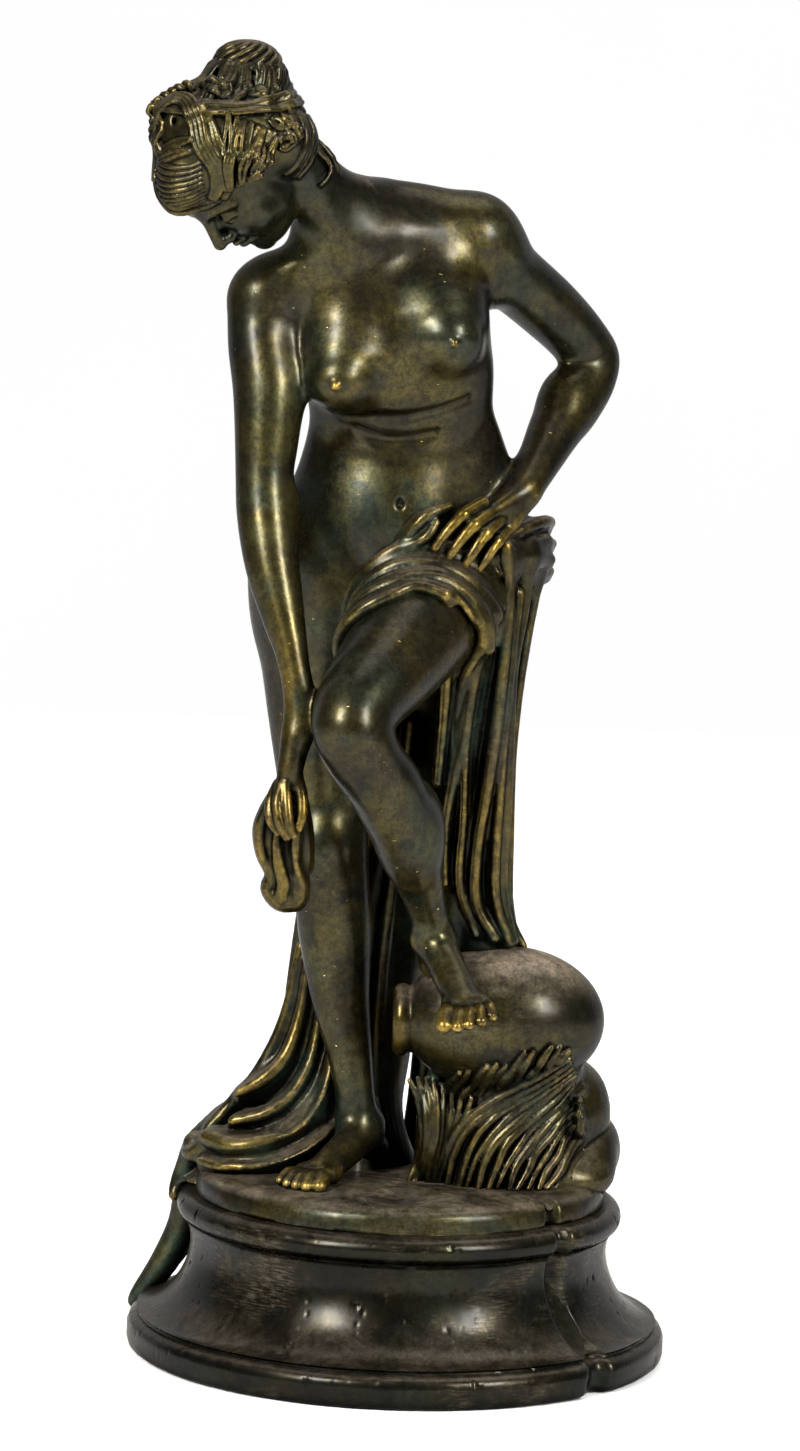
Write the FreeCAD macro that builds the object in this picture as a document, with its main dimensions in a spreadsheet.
"""Bronze statuette of a bather on a round socle, as the castings and fixings it is put together from.

The origin is the middle of the socle's foot, +Z is up and -Y is the front of the figure. Millimetres.
Every centre and radius is a cell of the Sizes sheet, and every sub-part is bound to those cells.
"""

import FreeCAD
import Part
import Sketcher
import math
import os
from FreeCAD import Placement, Rotation, Vector

WHOLE_TURN = 360.0
SHEET_NAME = "Sizes"

# Driving dimensions, by alias.
DIMENSIONS = {
    # the gully that runs down the front right of the socle
    "gully_sweep": 5.0,
    # screwed fixings under the socle
    "socle_roof": 26.8,
    "stud_radius": 1.5,
    "stud_gap": 0.1,
    "stud_lower_end": 21.6,
    "nut_circle_radius": 3.2,
    "nut_height": 2.4,
    "washer_radius": 3.5,
    "washer_height": 0.5,
    # pins, plugs and the fit that they and the pegs have in their holes
    "pin_radius": 0.75,
    "plug_radius": 1.2,
    "plug_length": 2.6,
    "fit_gap": 0.05,
    # wall of the hollow torso
    "torso_wall": 3.2,
}

GULLY_ANGLE = -40.0

# Turned outlines, from one point to the next: (radius, height, side), where side is the radius of the arc
# to the next point, or 0 where it is straight. A positive arc bulges away from the axis on the way up.
PROFILES = {
    "socle": [
        (0.0, 0.0, 0.0),
        (50.7, 0.0, 6.8),
        (50.7, 6.0, 0.0),
        (49.2, 6.4, 0.0),
        (49.6, 7.2, -14.2),
        (39.7, 20.6, 0.0),
        (40.3, 24.6, 2.8),
        (40.2, 30.0, 0.0),
        (0.0, 30.0, 0.0),
    ],
    "hollow": [
        (0.0, 0.0, 0.0),
        (46.8, 0.0, 0.0),
        (46.0, 7.0, -16.0),
        (36.2, 20.8, 0.0),
        (36.6, 26.8, 0.0),
        (0.0, 26.8, 0.0),
    ],
    "socle_gully": [
        (49.3, 0.0, 0.0),
        (54.0, 0.0, 0.0),
        (54.0, 30.0, 0.0),
        (38.4, 30.0, 0.0),
        (40.3, 27.4, 0.0),
        (38.5, 24.2, 0.0),
        (38.0, 20.4, 14.2),
        (47.6, 7.0, 0.0),
    ],
    "terrace": [
        (0.0, 30.0, 0.0),
        (38.9, 30.0, 0.0),
        (38.4, 33.4, 0.0),
        (37.0, 34.3, 0.0),
        (20.0, 35.3, 0.0),
        (0.0, 35.8, 0.0),
    ],
    "terrace_gully": [
        (36.9, 30.0, 0.0),
        (42.0, 30.0, 0.0),
        (42.0, 35.0, 0.0),
        (36.2, 35.0, 0.0),
    ],
    "jar": [
        (0.0, 0.0, 0.0),
        (7.4, 0.0, 1.2),
        (8.6, 1.6, 0.0),
        (6.6, 5.2, 22.0),
        (12.4, 20.0, 16.0),
        (10.8, 31.5, 14.0),
        (3.6, 40.2, 0.0),
        (0.0, 40.2, 0.0),
    ],
    "jar_mouth": [
        (0.0, 0.0, 0.0),
        (5.6, 0.0, 0.0),
        (4.8, 3.0, 0.0),
        (5.0, 7.5, 0.0),
        (0.0, 9.0, 0.0),
    ],
}

# Castings lofted through oval stations: (x, y, z, half width, half depth), from one end to the other.
STATIONS = {
    "torso": [
        (-10.0, 0.5, 130.5, 15.0, 11.0),
        (-10.7, 0.0, 136.0, 20.0, 14.0),
        (-11.4, 1.0, 143.5, 22.0, 15.5),
        (-9.5, 0.0, 154.0, 20.5, 14.5),
        (-5.6, -3.0, 168.6, 18.2, 12.5),
        (-4.6, -6.0, 181.9, 16.8, 12.5),
        (-7.4, -9.0, 193.2, 18.0, 14.0),
        (-10.5, -12.0, 203.4, 18.0, 11.5),
        (-12.0, -13.0, 211.0, 17.0, 9.0),
        (-14.0, -13.5, 217.5, 12.0, 7.2),
        (-15.6, -14.0, 220.5, 6.8, 6.0),
    ],
    "neck": [
        (-16.4, -15.0, 214.0, 7.4, 7.2),
        (-20.5, -19.0, 220.5, 6.6, 6.6),
        (-25.0, -23.0, 225.0, 6.6, 6.6),
        (-29.0, -26.0, 227.0, 5.0, 5.0),
    ],
    "right_arm": [
        (-30.0, -13.5, 207.5, 3.0, 3.0),
        (-32.0, -14.0, 202.5, 6.0, 6.0),
        (-30.4, -16.0, 191.9, 6.2, 6.0),
        (-29.5, -18.0, 181.8, 6.2, 6.0),
        (-29.6, -22.0, 165.5, 5.3, 5.2),
        (-28.0, -25.0, 154.0, 5.4, 5.0),
        (-25.2, -29.0, 143.2, 4.2, 3.8),
        (-22.2, -32.5, 131.0, 2.9, 2.6),
        (-22.0, -34.0, 121.7, 2.8, 2.5),
        (-22.8, -35.0, 114.5, 4.2, 2.6),
        (-23.8, -35.4, 107.5, 3.9, 2.4),
        (-24.2, -35.4, 103.0, 2.4, 1.8),
    ],
    "left_arm": [
        (3.0, -8.5, 216.0, 5.0, 5.0),
        (8.3, -7.0, 213.7, 7.2, 7.0),
        (14.5, -2.0, 207.6, 6.8, 6.6),
        (22.1, 6.0, 200.0, 6.2, 6.0),
        (29.0, 12.0, 192.6, 5.4, 5.2),
        (29.0, 10.8, 186.0, 5.6, 5.2),
        (25.2, 5.0, 178.5, 5.2, 5.0),
        (21.5, -3.0, 171.4, 4.2, 4.0),
        (18.2, -10.0, 165.3, 3.5, 3.0),
        (14.6, -15.5, 160.0, 4.8, 3.0),
        (10.6, -20.0, 155.4, 4.2, 2.4),
        (8.6, -22.0, 153.0, 2.4, 1.6),
    ],
    "standing_leg": [
        (-17.0, 1.0, 142.0, 12.0, 12.0),
        (-18.6, 1.0, 133.7, 13.0, 12.8),
        (-18.5, 0.0, 120.5, 11.0, 11.0),
        (-17.3, -1.0, 107.3, 9.2, 9.2),
        (-15.8, -3.0, 96.2, 7.6, 7.8),
        (-14.5, -1.0, 86.4, 7.2, 7.6),
        (-13.7, 0.0, 78.5, 6.9, 7.2),
        (-12.4, -2.0, 67.4, 5.5, 5.6),
        (-10.5, -4.0, 58.2, 4.3, 4.4),
        (-9.1, -5.0, 48.8, 4.0, 4.0),
        (-8.0, -4.5, 41.0, 4.3, 4.6),
        (-7.8, -4.0, 36.8, 3.6, 4.0),
    ],
    "standing_foot": [
        (-4.2, 5.2, 38.2, 2.4, 2.4),
        (-6.6, 1.0, 38.8, 4.0, 3.4),
        (-9.4, -7.0, 39.0, 4.2, 3.8),
        (-13.0, -15.0, 37.8, 4.6, 2.8),
        (-17.0, -21.5, 36.8, 4.6, 1.9),
        (-19.4, -25.5, 36.4, 3.4, 1.2),
    ],
    "raised_leg": [
        (3.6, -4.0, 144.0, 11.0, 10.6),
        (0.0, -16.0, 141.4, 11.4, 10.8),
        (-6.1, -30.0, 133.8, 9.2, 9.2),
        (-10.6, -38.6, 128.4, 8.0, 7.8),
        (-11.6, -41.0, 123.0, 7.4, 7.2),
        (-9.0, -39.0, 117.0, 7.0, 7.0),
        (-5.4, -36.0, 113.3, 7.2, 7.2),
        (-1.8, -30.0, 105.2, 6.7, 6.9),
        (0.9, -23.0, 95.9, 4.9, 5.0),
        (3.4, -18.0, 88.6, 3.7, 3.8),
        (4.7, -14.0, 82.0, 3.8, 3.8),
        (5.4, -12.0, 76.6, 3.2, 3.6),
    ],
    "raised_foot": [
        (4.2, -7.6, 76.6, 2.8, 2.6),
        (6.2, -12.0, 77.2, 3.9, 3.6),
        (8.3, -20.0, 75.4, 4.4, 3.6),
        (9.8, -28.0, 72.6, 4.9, 2.6),
        (11.0, -34.5, 70.6, 4.6, 1.6),
        (11.6, -37.5, 70.0, 3.4, 1.0),
    ],
    "thigh_wrap": [
        (9.0, 2.0, 151.0, 14.5, 13.5),
        (4.4, -5.0, 146.4, 15.8, 14.4),
        (2.0, -12.0, 143.4, 14.6, 13.6),
        (-1.0, -19.5, 139.6, 12.4, 12.0),
    ],
    "side_fall": [
        (12.0, -2.0, 158.0, 9.5, 9.0),
        (14.0, -2.0, 146.0, 12.5, 11.5),
        (14.2, -2.5, 130.0, 10.0, 10.5),
        (14.4, -2.5, 110.0, 8.8, 9.0),
        (14.2, -3.0, 92.0, 8.2, 8.6),
        (14.6, -3.5, 78.0, 9.4, 9.4),
    ],
    "back_fall": [
        (2.0, 12.0, 150.0, 17.0, 6.0),
        (0.0, 13.0, 128.0, 17.5, 6.5),
        (-3.0, 13.5, 104.0, 19.0, 6.5),
        (-8.0, 13.0, 80.0, 20.0, 7.5),
        (-13.0, 11.0, 60.0, 22.5, 9.5),
        (-17.5, 9.0, 46.0, 26.0, 13.0),
        (-19.5, 8.0, 33.0, 23.0, 15.0),
    ],
    "drapery_tail": [
        (-29.0, 10.0, 41.0, 9.0, 5.5),
        (-35.6, 12.0, 38.0, 8.6, 4.6),
        (-41.2, 13.6, 32.0, 8.0, 3.4),
        (-42.8, 14.4, 23.0, 7.4, 3.2),
        (-44.8, 15.0, 14.0, 7.0, 3.2),
        (-49.0, 16.0, 6.4, 6.0, 2.8),
        (-51.6, 16.6, 2.4, 3.6, 1.6),
    ],
    "held_cloth": [
        (-22.4, -34.0, 112.0, 3.6, 3.0),
        (-24.0, -33.0, 106.0, 5.6, 5.0),
        (-22.4, -32.0, 99.0, 6.2, 5.4),
        (-20.6, -31.0, 94.0, 5.6, 4.8),
        (-19.8, -31.0, 90.6, 3.6, 3.2),
    ],
    "reed_bank": [
        (21.0, 0.0, 33.0, 20.0, 17.5),
        (21.5, 0.5, 44.0, 18.6, 16.0),
        (20.5, 0.0, 56.0, 15.6, 14.0),
        (20.0, -1.0, 68.0, 14.0, 12.0),
    ],
    "rock": [
        (30.0, 8.0, 33.0, 11.5, 12.0),
        (31.0, 7.0, 41.0, 11.6, 13.0),
        (30.0, 7.0, 50.0, 9.4, 11.0),
        (28.0, 6.0, 58.0, 6.0, 7.0),
    ],
}

# Ovals of the head and its dressed hair: centre and the three radii along x, y and z.
HEAD_OVALS = {
    "skull": ((-36.0, -30.0, 224.4), (12.4, 12.2, 12.6)),
    "jaw": ((-33.0, -33.5, 215.0), (7.4, 7.0, 7.0)),
    "topknot": ((-34.6, -28.0, 242.4), (7.2, 6.4, 6.0)),
    "side_bow": ((-46.0, -32.0, 231.6), (5.6, 6.0, 8.0)),
}

# Roman joints: a peg on one casting enters a socket in the torso: (x, y, z), direction, radius, length.
PEGS = {
    "neck_peg": ((-19.6, -18.2, 219.4), (0.55, 0.5, -1.0), 3.4, 11.0),
    "right_arm_peg": ((-31.0, -14.5, 203.0), (1.0, 0.1, -0.1), 3.2, 12.5),
    "left_arm_peg": ((10.0, -6.0, 212.4), (-1.0, -0.3, -0.1), 3.4, 12.0),
    "standing_leg_peg": ((-18.6, 1.6, 124.0), (0.05, 0.0, 1.0), 4.6, 20.0),
    "raised_leg_peg": ((1.0, -14.0, 142.4), (-0.35, 1.0, 0.2), 4.6, 12.0),
}

# Pins through those joints: middle, direction, length.
PINS = {
    "neck_pin": ((-17.4, -16.2, 215.6), (1.0, -0.6, 0.0), 9.4),
    "right_shoulder_pin": ((-24.6, -14.0, 202.2), (0.0, 1.0, 0.0), 10.0),
    "left_shoulder_pin": ((4.0, -7.8, 211.8), (0.0, 0.6, 1.0), 9.6),
    "standing_thigh_pin": ((-17.6, 1.6, 138.6), (0.0, 1.0, 0.0), 17.0),
    "raised_thigh_pin": ((-1.6, -6.6, 143.9), (1.0, 0.0, 0.3), 12.6),
    "cloth_pin": ((-23.4, -34.4, 108.6), (0.15, 1.0, 0.0), 4.4),
}

# Studs that hold the castings down on the socle: foot of the stud (x, y) and its upper end.
STUDS = {
    "foot_stud": (-8.6, -4.4, 45.0),
    "rockwork_stud": (20.0, 0.0, 50.0),
    "drapery_stud": (-21.0, 12.0, 46.0),
}

# Core plugs in the wall of the torso: where each one goes through, and which way it points.
PLUGS = [
    ((-6.0, 5.2, 181.0), (0.0, 1.0, 0.0)),
    ((-12.0, 13.4, 150.0), (0.0, 1.0, 0.0)),
]

JAR_MOUTH = (-1.2, -10.6, 66.6)
JAR_AXIS = (1.0, 0.12, 0.02)


class Model:
    """The document, its sheet of sizes and the sub-parts that are written out."""

    def __init__(self):
        self.doc = FreeCAD.newDocument("statuette")
        self.sheet = self.doc.addObject("Spreadsheet::Sheet", SHEET_NAME)
        self.rows = 0
        self.parts = []

    def cell(self, alias, value):
        self.rows += 1
        self.sheet.set(f"A{self.rows}", alias)
        self.sheet.set(f"B{self.rows}", str(value))
        self.sheet.setAlias(f"B{self.rows}", alias)

    def part(self, label, source):
        """Puts an object down as the sub-part with this label."""
        source.Label = label
        self.parts.append(source)


def link(alias):
    return f"{SHEET_NAME}.{alias}"


def fill_sheet(model):
    for alias, value in DIMENSIONS.items():
        model.cell(alias, value)
    for name, corners in PROFILES.items():
        for i, (radius, height, side) in enumerate(corners):
            model.cell(f"{name}_{i}_radius", radius)
            model.cell(f"{name}_{i}_height", height)
            model.cell(f"{name}_{i}_side", abs(side))
    for name, stations in STATIONS.items():
        for i, station in enumerate(stations):
            for what, value in zip(("x", "y", "z", "wide", "deep"), station):
                model.cell(f"{name}_{i}_{what}", value)
    for name, (centre, radii) in HEAD_OVALS.items():
        for axis, place, radius in zip("xyz", centre, radii):
            model.cell(f"{name}_at_{axis}", place)
            model.cell(f"{name}_radius_{axis}", radius)
    for name, (_, _, radius, length) in PEGS.items():
        model.cell(f"{name}_radius", radius)
        model.cell(f"{name}_length", length)
    for name, (_, _, length) in PINS.items():
        model.cell(f"{name}_length", length)
    for name, (_, _, top) in STUDS.items():
        model.cell(f"{name}_top", top)
    model.doc.recompute()


def turned(normal, across=(1, 0, 0)):
    """The rotation whose local Z lies along normal and whose local X stays as near to across as it can."""
    z = Vector(*normal).normalize()
    across = Vector(*across)
    x = across - z * z.dot(across)
    if x.Length < 0.2:
        x = Vector(0, 1, 0) - z * z.y
    x.normalize()
    return Rotation(x, z.cross(x), z, "ZXY")


def profile(body, name, turn=0.0):
    """A closed sketch of one turned outline in the plane of the axis, turned about it by some degrees."""
    corners = PROFILES[name]
    count = len(corners)
    sketch = body.newObject("Sketcher::SketchObject", f"{name}_outline")
    plane = next(o for o in body.Origin.OriginFeatures if o.Role == "XZ_Plane")
    sketch.AttachmentSupport = [(plane, "")]
    sketch.MapMode = "FlatFace"
    sketch.AttachmentOffset = Placement(Vector(), Rotation(Vector(0, 1, 0), turn))
    starts = []
    for i, (radius, height, side) in enumerate(corners):
        a = Vector(radius, height, 0)
        b = Vector(*corners[(i + 1) % count][:2], 0)
        starts.append(add_side(sketch, a, b, side, f"side_{i}", link(f"{name}_{i}_side")))
    for i, (geometry, first, _) in enumerate(starts):
        before, _, last = starts[i - 1]
        sketch.addConstraint(Sketcher.Constraint("Coincident", before, last, geometry, first))
        radius, height, _ = corners[i]
        for along, value, alias, own_axis in (("X", radius, "radius", -2), ("Y", height, "height", -1)):
            if value == 0.0:
                sketch.addConstraint(Sketcher.Constraint("PointOnObject", geometry, first, own_axis))
                continue
            rule = Sketcher.Constraint(f"Distance{along}", -1, 1, geometry, first, value)
            bind(sketch, rule, f"{alias}_{i}", link(f"{name}_{i}_{alias}"))
    return sketch


def add_side(sketch, a, b, side, rule_name, expression):
    """One side of an outline: the geometry's number, and the numbers of its first and last points."""
    if side == 0.0:
        return sketch.addGeometry(Part.LineSegment(a, b), False), 1, 2
    chord = b - a
    outward = Vector(chord.y, -chord.x, 0).normalize()
    rise = abs(side) - math.sqrt(side * side - chord.Length * chord.Length / 4)
    middle = (a + b) * 0.5 + outward * math.copysign(rise, side)
    geometry = sketch.addGeometry(Part.Arc(a, middle, b), False)
    bind(sketch, Sketcher.Constraint("Radius", geometry, abs(side)), rule_name, expression)
    start_gap = sketch.getPoint(geometry, 1).distanceToPoint(a)
    end_gap = sketch.getPoint(geometry, 2).distanceToPoint(a)
    starts_at_a = start_gap < end_gap
    return (geometry, 1, 2) if starts_at_a else (geometry, 2, 1)


def bind(sketch, rule, name, expression):
    """Adds a constraint and ties its value to the sheet."""
    number = sketch.addConstraint(rule)
    sketch.renameConstraint(number, name)
    sketch.setExpression(f"Constraints.{name}", expression)


def turn_solid(model, body, kind, name, turn=0.0, sweep=None):
    """Turns an outline about the body's axis, as a Revolution that adds or a Groove that removes."""
    before = body.Shape.Volume if body.Tip else 0.0
    sketch = profile(body, name, turn)
    feature = body.newObject(f"PartDesign::{kind}", f"{name}_turning")
    feature.Profile = sketch
    feature.ReferenceAxis = (sketch, ["V_Axis"])
    feature.Angle = WHOLE_TURN
    if sweep:
        feature.Midplane = True
        feature.setExpression("Angle", link(sweep))
    model.doc.recompute()
    gained = body.Shape.Volume - before
    if (gained > 0) != (kind == "Revolution"):
        raise ValueError(f"{name}: {kind} changed the volume by {gained:.1f}")
    return feature


def loft(model, name, inset=None, skip=0, across=(1, 0, 0)):
    """A closed loft through one casting's oval stations, which are wide in the direction across.

    With an inset the ovals are shrunk by that cell, and skip leaves out stations at both ends."""
    stations = STATIONS[name]
    last = len(stations) - 1
    kind = "core" if inset else "oval"
    less = f" - {link(inset)}" if inset else ""
    sections = []
    for i in range(skip, len(stations) - skip):
        x, y, z, wide, deep = stations[i]
        before = Vector(*stations[max(i - 1, 0)][:3])
        after = Vector(*stations[min(i + 1, last)][:3])
        turn = turned(after - before, across)
        major, minor = "wide", "deep"
        if deep > wide:
            turn = turn.multiply(Rotation(Vector(0, 0, 1), 90))
            major, minor = minor, major
        oval = model.doc.addObject("Part::Ellipse", f"{name}_{kind}_{i}")
        oval.Placement = Placement(Vector(x, y, z), turn)
        for axis in "xyz":
            oval.setExpression(f"Placement.Base.{axis}", link(f"{name}_{i}_{axis}"))
        oval.setExpression("MajorRadius", link(f"{name}_{i}_{major}") + less)
        oval.setExpression("MinorRadius", link(f"{name}_{i}_{minor}") + less)
        sections.append(oval)
    solid = model.doc.addObject("Part::Loft", f"{name}_{kind}_loft")
    solid.Sections = sections
    solid.Solid = True
    return solid


def rod(model, name, radius, height, base, direction, middle=False):
    """A cylinder from its base along direction, or about its middle, with its sizes as expressions."""
    solid = model.doc.addObject("Part::Cylinder", name)
    solid.setExpression("Radius", radius)
    solid.setExpression("Height", height)
    solid.Placement = Placement(Vector(*base), turned(direction))
    model.doc.recompute()
    if middle:
        half = Vector(*direction).normalize() * (solid.Height.Value / 2)
        solid.Placement.Base = Vector(*base) - half
    return solid


def fuse(model, name, pieces):
    joined = model.doc.addObject("Part::MultiFuse", name)
    joined.Shapes = pieces
    return joined


def cut(model, name, base, tools):
    """Base with every tool taken away, one after another."""
    for i, tool in enumerate(tools):
        step = model.doc.addObject("Part::Cut", f"{name}_cut_{i}")
        step.Base = base
        step.Tool = tool
        base = step
    return base


def group(model, name, pieces):
    """Separate solids that are written as one sub-part."""
    together = model.doc.addObject("Part::Compound", name)
    together.Links = pieces
    return together


def oval(model, name):
    """One oval of the head, which is a ball stretched along the three axes."""
    centre, radii = HEAD_OVALS[name]
    solid = model.doc.addObject("Part::Ellipsoid", name)
    solid.Placement = Placement(Vector(*centre), Rotation())
    for axis in "xyz":
        solid.setExpression(f"Placement.Base.{axis}", link(f"{name}_at_{axis}"))
    for size, axis in (("Radius2", "x"), ("Radius3", "y"), ("Radius1", "z")):
        solid.setExpression(size, link(f"{name}_radius_{axis}"))
    return solid


def peg(model, name):
    """The peg of a Roman joint, and the slightly larger tool that makes its socket."""
    base, direction, _, _ = PEGS[name]
    radius, length = link(f"{name}_radius"), link(f"{name}_length")
    gap = link("fit_gap")
    inner = rod(model, name, radius, length, base, direction)
    socket = rod(model, f"{name}_socket", f"{radius} + {gap}", f"{length} + {gap}", base, direction)
    return inner, socket


def pin(model, name):
    """A pin through a joint, and the tool that drills its hole."""
    middle, direction, _ = PINS[name]
    radius, length = link("pin_radius"), link(f"{name}_length")
    gap = link("fit_gap")
    solid = rod(model, name, radius, length, middle, direction, middle=True)
    wide, deep = f"{radius} + {gap}", f"{length} + 2 * {gap}"
    drill = rod(model, f"{name}_drill", wide, deep, middle, direction, middle=True)
    return solid, drill


def make_socle(model):
    body = model.doc.addObject("PartDesign::Body", "socle_body")
    turn_solid(model, body, "Revolution", "socle")
    turn_solid(model, body, "Groove", "hollow")
    turn_solid(model, body, "Groove", "socle_gully", GULLY_ANGLE, "gully_sweep")
    return body


def make_terrace(model):
    body = model.doc.addObject("PartDesign::Body", "terrace_body")
    turn_solid(model, body, "Revolution", "terrace")
    turn_solid(model, body, "Groove", "terrace_gully", GULLY_ANGLE, "gully_sweep")
    return body


def make_jar(model):
    body = model.doc.addObject("PartDesign::Body", "jar_body")
    turn_solid(model, body, "Revolution", "jar")
    turn_solid(model, body, "Groove", "jar_mouth")
    body.Placement = Placement(Vector(*JAR_MOUTH), turned(JAR_AXIS))
    return body


def make_fixings(model):
    """Studs through the socle's roof with their washers and nuts, and the tool that drills for them."""
    studs, drills, washers, nuts = [], [], [], []
    roof, below = link("socle_roof"), link("stud_lower_end")
    for name, (x, y, _) in STUDS.items():
        top = link(f"{name}_top")
        stud = rod(model, name, link("stud_radius"), f"{top} - {below}", (x, y, 0), (0, 0, 1))
        drill_radius = f"{link('stud_radius')} + {link('stud_gap')}"
        drill = rod(model, f"{name}_drill", drill_radius, f"{top} - {below}", (x, y, 0), (0, 0, 1))
        for solid in (stud, drill):
            solid.setExpression("Placement.Base.z", below)
        washer_radius, washer_height = link("washer_radius"), link("washer_height")
        disc = rod(model, f"{name}_disc", washer_radius, washer_height, (x, y, 0), (0, 0, 1))
        disc.setExpression("Placement.Base.z", f"{roof} - {link('washer_height')}")
        nut = model.doc.addObject("Part::Prism", f"{name}_hexagon")
        nut.Polygon = 6
        nut.setExpression("Circumradius", link("nut_circle_radius"))
        nut.setExpression("Height", link("nut_height"))
        nut.Placement = Placement(Vector(x, y, 0), Rotation())
        nut.setExpression("Placement.Base.z", f"{roof} - {link('washer_height')} - {link('nut_height')}")
        studs.append(stud)
        drills.append(drill)
        washers.append(cut(model, f"{name}_washer", disc, [drill]))
        nuts.append(cut(model, f"{name}_nut", nut, [drill]))
    return studs, drills, washers, nuts


def make_plugs(model):
    """Bronze plugs that close the holes where the core's iron pins were."""
    plugs, drills = [], []
    for i, (place, direction) in enumerate(PLUGS):
        radius, length = link("plug_radius"), link("plug_length")
        gap = link("fit_gap")
        plugs.append(rod(model, f"plug_{i}", radius, length, place, direction, middle=True))
        wide = f"{radius} + {gap}"
        drills.append(rod(model, f"plug_{i}_drill", wide, length, place, direction, middle=True))
    return plugs, drills


def build(model):
    pegs = {name: peg(model, name) for name in PEGS}
    pins = {name: pin(model, name) for name in PINS}
    studs, stud_drills, washers, nuts = make_fixings(model)
    plugs, plug_drills = make_plugs(model)

    socle_outside = make_socle(model)
    terrace_outside = make_terrace(model)
    jar_outside = make_jar(model)
    torso_outside = loft(model, "torso")
    core = loft(model, "torso", inset="torso_wall", skip=2)

    def drill(name):
        return pins[name][1]

    model.part("socle", cut(model, "socle", socle_outside, stud_drills))
    model.part("terrace", cut(model, "terrace", terrace_outside, stud_drills))

    sockets = [socket for _, socket in pegs.values()]
    body_pins = [name for name in PINS if name != "cloth_pin"]
    holes = sockets + [drill(name) for name in body_pins] + plug_drills
    model.part("torso", cut(model, "torso", torso_outside, [core] + holes))
    model.part("core_plugs", group(model, "plugs", plugs))

    ovals = [oval(model, name) for name in HEAD_OVALS]
    head = fuse(model, "head_and_neck", ovals + [loft(model, "neck")])
    head = cut(model, "head_seat", head, [torso_outside])
    head = fuse(model, "head_on_peg", [head, pegs["neck_peg"][0]])
    model.part("head", cut(model, "head", head, [drill("neck_pin")]))

    arms = {}
    for side in ("right", "left"):
        name = f"{side}_arm"
        limb = cut(model, f"{name}_seat", loft(model, name), [torso_outside])
        limb = fuse(model, f"{name}_on_peg", [limb, pegs[f"{name}_peg"][0]])
        tools = [drill(f"{side}_shoulder_pin")]
        if side == "right":
            tools.append(drill("cloth_pin"))
        arms[side] = cut(model, name, limb, tools)
        model.part(name, arms[side])

    cloth = cut(model, "held_cloth", loft(model, "held_cloth"), [arms["right"], drill("cloth_pin")])
    model.part("held_cloth", cloth)

    legs = {}
    for name, foot, rests_on in (
        ("standing_leg", "standing_foot", [terrace_outside]),
        ("raised_leg", "raised_foot", [jar_outside]),
    ):
        limb = fuse(model, f"{name}_and_foot", [loft(model, name), loft(model, foot)])
        limb = cut(model, f"{name}_seat", limb, [torso_outside] + rests_on + list(legs.values()))
        legs[name] = fuse(model, f"{name}_on_peg", [limb, pegs[f"{name}_peg"][0]])
    tools = {
        "standing_leg": [drill("standing_thigh_pin"), stud_drills[0]],
        "raised_leg": [drill("raised_thigh_pin")],
    }
    for name, limb in legs.items():
        model.part(name, cut(model, name, limb, tools[name]))

    figure = fuse(model, "figure", [torso_outside, arms["left"]] + list(legs.values()))
    ground = fuse(model, "ground", [socle_outside, terrace_outside])

    bank = loft(model, "reed_bank")
    reeds = cut(model, "reeds", bank, [ground, jar_outside, figure, stud_drills[1]])
    model.part("reed_bank", reeds)
    model.part("rock", cut(model, "rock_seat", loft(model, "rock"), [ground, jar_outside, bank]))
    model.part("water_jar", cut(model, "water_jar", jar_outside, [stud_drills[1]]))

    wrap = loft(model, "thigh_wrap")
    model.part("hip_drapery", cut(model, "hip_drapery", wrap, [figure]))
    side_fall = loft(model, "side_fall")
    side_cut = cut(model, "side_drapery", side_fall, [wrap, figure, jar_outside, bank])
    model.part("side_drapery", side_cut)
    train = fuse(model, "train", [loft(model, "back_fall"), loft(model, "drapery_tail", across=(0, 1, 0))])
    standing = [figure, wrap, side_fall, jar_outside, bank, ground, stud_drills[2]]
    model.part("back_drapery", cut(model, "back_drapery", train, standing))

    model.part("neck_pin", pins["neck_pin"][0])
    model.part("cloth_pin", pins["cloth_pin"][0])
    for label in ("shoulder", "thigh"):
        pair = [solid for name, (solid, _) in pins.items() if name.endswith(f"{label}_pin")]
        model.part(f"{label}_pins", group(model, f"{label}_pair", pair))
    model.part("fixing_studs", group(model, "studs", studs))
    model.part("fixing_washers", group(model, "washers", washers))
    model.part("fixing_nuts", group(model, "nuts", nuts))


def main():
    model = Model()
    fill_sheet(model)
    build(model)
    model.doc.recompute()
    for thing in model.doc.Objects:
        if "Invalid" in thing.State or "Error" in thing.State:
            raise ValueError(f"{thing.Name} failed: {thing.State}")
    for source in model.parts:
        if source.Shape.isNull() or not source.Shape.isValid():
            raise ValueError(f"{source.Label} has no valid shape")
    os.makedirs("parts", exist_ok=True)
    for source in model.parts:
        box = source.Shape.BoundBox
        print(f"{source.Label:16s} solids {len(source.Shape.Solids)} volume {source.Shape.Volume:9.1f}"
              f" z {box.ZMin:6.1f} to {box.ZMax:6.1f}")
        source.Shape.exportStep(f"parts/{source.Label}.step")


main()
